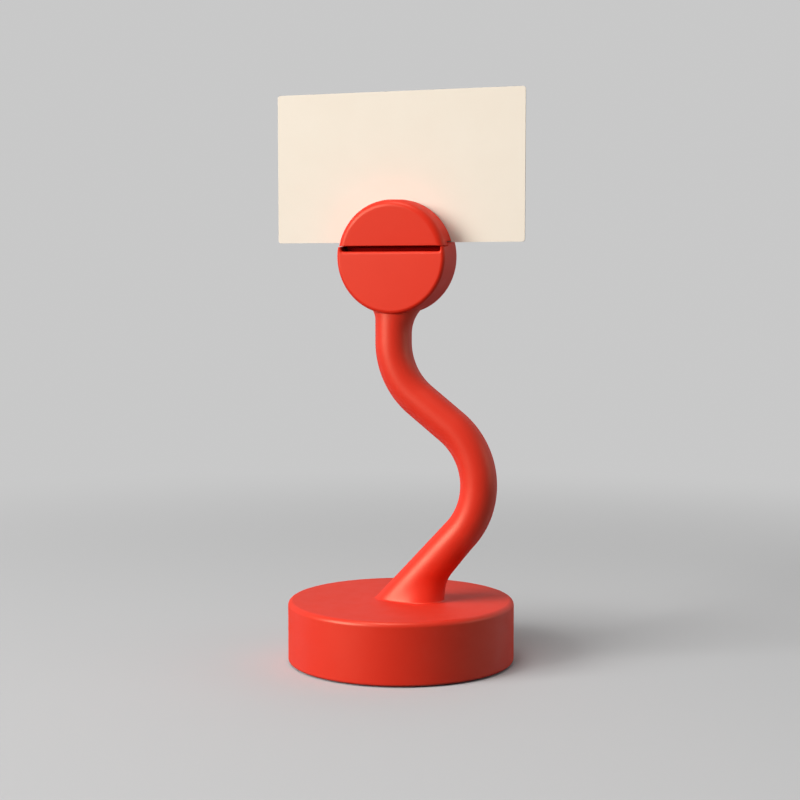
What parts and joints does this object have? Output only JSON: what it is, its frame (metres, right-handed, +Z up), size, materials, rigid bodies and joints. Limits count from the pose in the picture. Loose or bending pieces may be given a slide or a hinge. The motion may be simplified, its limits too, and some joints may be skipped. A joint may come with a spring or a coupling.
{
  "type": "memo holder",
  "caption": "Desk memo holder with a weighted round base, an S-shaped stem and a round head whose sprung upper front half grips a card.",
  "frame": {"origin": "on the desk, under the middle of the round base, at the underside of the foot pad", "axes": "+Z up along the base's axis, -Y to the front (the side with the jaw), +X to the right as seen from the front; the stem bends in the XZ plane"},
  "size_m": [0.0898, 0.078, 0.1955],
  "materials": {
    "base_cover": "soft-touch red, very fine grain",
    "stem_sleeve": "soft-touch red, very fine grain",
    "head_body": "soft-touch red, very fine grain",
    "clip_jaw": "soft-touch red, very fine grain",
    "ballast": "turned, dull",
    "base_plate": "moulded, dull",
    "foot_pad": "non-slip foam rubber",
    "grip_pads": "soft, dull",
    "fasteners": "zinc plated",
    "rod": "drawn steel",
    "spring": "blackened spring wire",
    "card": "uncoated cream card"
  },
  "bodies": {
    "stand": {"base_cover": "base_cover", "ballast_disc": "ballast", "base_plate": "base_plate", "base_screws": "fasteners", "foot_pad": "foot_pad", "lower_washer": "fasteners", "lower_nut": "fasteners", "upper_washer": "fasteners", "upper_nut": "fasteners", "stem_rod": "rod", "stem_sleeve": "stem_sleeve", "head_body": "head_body", "rod_grub_screw": "fasteners", "hinge_pin": "rod", "jaw_spring": "spring", "rear_pad": "grip_pads", "pin_plug": "head_body"},
    "jaw": {"clip_jaw": "clip_jaw", "jaw_pad": "grip_pads"},
    "card": {"memo_card": "card"}
  },
  "joints": [
    {"name": "jaw_hinge", "type": "hinge", "parent": "stand", "child": "jaw", "pos_m": [-0.0015, 0, 0.1421], "axis": [1, 0, 0], "range_deg": [0, 2.5], "stiffness_Nm_per_rad": 0.01, "springref_deg": -28.65, "deforming": ["jaw_spring"]},
    {"name": "card_slide", "type": "slide", "parent": "stand", "child": "card", "axis": [0, 0, 1], "range_m": [0, 0.02]}
  ]
}
